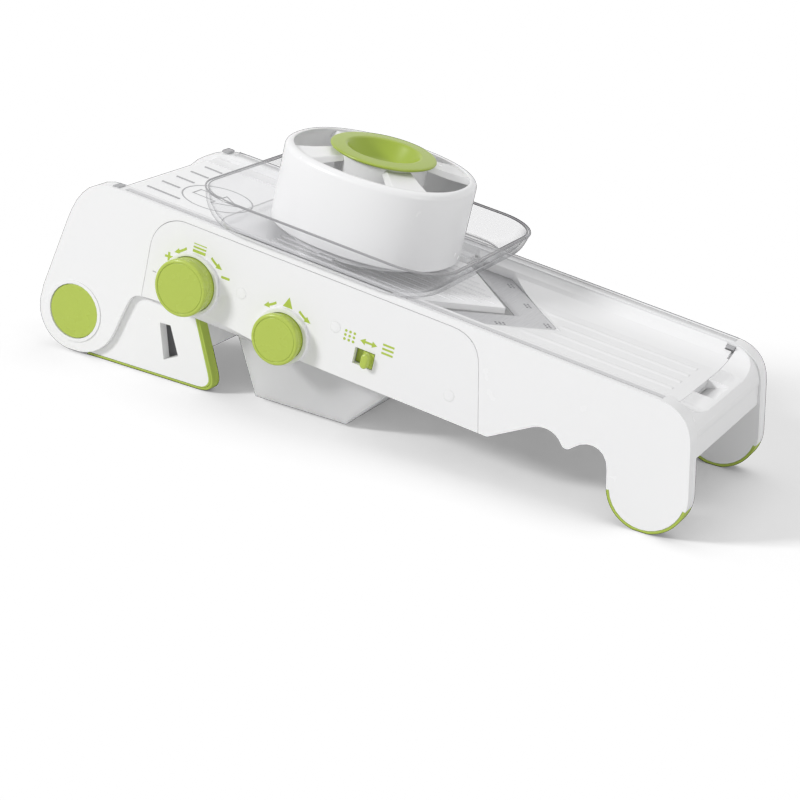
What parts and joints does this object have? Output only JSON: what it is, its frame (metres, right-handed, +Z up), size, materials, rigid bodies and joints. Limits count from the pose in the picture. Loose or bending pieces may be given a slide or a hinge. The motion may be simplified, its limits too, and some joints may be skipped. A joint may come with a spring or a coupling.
{
  "type": "mandoline slicer",
  "caption": "Kitchen mandoline slicer with V blade, two side knobs, julienne combs, fold-out stand and a sliding, turning food holder.",
  "frame": {"origin": "centre of the bounding box in plan, on the table plane that the folded slicer rests on", "axes": "+X towards the outfeed end (the deck slopes down that way by 5.2 degrees), +Y away from the knobs, +Z up"},
  "size_m": [0.4014, 0.15, 0.1483],
  "materials": {
    "white": "smooth white plastic, soft gloss",
    "green": "smooth light green plastic",
    "green_rubber": "soft matt green rubber",
    "steel": "fine brushed stainless steel",
    "clear": "clear polished plastic",
    "frosted": "translucent frosted plastic",
    "inner": "plain moulded plastic"
  },
  "bodies": {
    "base": {"near_side_shell": "white", "far_side_shell": "white", "deck_frame": "white", "control_panel": "white", "panel_pin_1": "white", "panel_pin_2": "white", "panel_pin_3": "white", "blade_tray": "white", "v_blade": "steel", "under_guard": "frosted", "ramp_pivot_pin": "steel", "pivot_pin_near": "steel", "pivot_pin_far": "steel", "pivot_cap_near": "green", "pivot_cap_far": "green", "foot_pad_near": "green_rubber", "foot_pad_far": "green_rubber"},
    "ramp": {"infeed_ramp": "white"},
    "thickness_set": {"thickness_knob": "green", "thickness_shaft": "steel", "thickness_cam_near": "inner", "thickness_cam_far": "inner"},
    "comb_set": {"shape_knob": "green", "comb_shaft": "steel", "comb_hub": "inner", "fine_comb": "steel", "coarse_comb": "steel"},
    "selector": {"selector_lever": "green", "switch_bar": "inner"},
    "turn_peg": {"turn_peg": "steel"},
    "stand": {"stand_leg": "white", "stand_rubber_near": "green_rubber", "stand_rubber_far": "green_rubber"},
    "dish": {"guard_dish": "clear"},
    "drum": {"holder_drum": "white"},
    "pusher": {"pusher": "white", "pusher_cap": "green"}
  },
  "joints": [
    {"name": "thickness_turn", "type": "hinge", "parent": "base", "child": "thickness_set", "pos_m": [-0.10178, 0.0025, 0.06134], "axis": [0, 1, 0], "range_deg": [0, 180]},
    {"name": "ramp_tilt", "type": "hinge", "parent": "base", "child": "ramp", "pos_m": [-0.15852, 0.0025, 0.09314], "axis": [0, 1, 0], "range_deg": [0, 2.65]},
    {"name": "comb_turn", "type": "hinge", "parent": "base", "child": "comb_set", "pos_m": [-0.0411, 0.0025, 0.04729], "axis": [0, -1, 0], "range_deg": [0, 200]},
    {"name": "selector_slide", "type": "slide", "parent": "base", "child": "selector", "axis": [0.9959, 0, -0.0906], "range_m": [-0.005, 0]},
    {"name": "peg_lift", "type": "slide", "parent": "base", "child": "turn_peg", "axis": [0.0906, 0, 0.9959], "range_m": [0, 0.004]},
    {"name": "stand_fold", "type": "hinge", "parent": "base", "child": "stand", "pos_m": [-0.17722, 0.0025, 0.02463], "axis": [0, 1, 0], "range_deg": [0, 131]},
    {"name": "holder_slide", "type": "slide", "parent": "base", "child": "dish", "axis": [0.9959, 0, -0.0906], "range_m": [-0.054, 0.125]},
    {"name": "drum_turn", "type": "hinge", "parent": "dish", "child": "drum", "pos_m": [-0.03051, 0.0025, 0.09191], "axis": [0.0906, 0, 0.9959], "continuous": true},
    {"name": "pusher_lift", "type": "slide", "parent": "drum", "child": "pusher", "axis": [0.0906, 0, 0.9959], "range_m": [0, 0.034]}
  ],
  "couplings": [
    {"joint": "ramp_tilt", "follows": "thickness_turn", "ratio": 0.014722},
    {"joint": "peg_lift", "follows": "selector_slide", "ratio": -0.8}
  ]
}
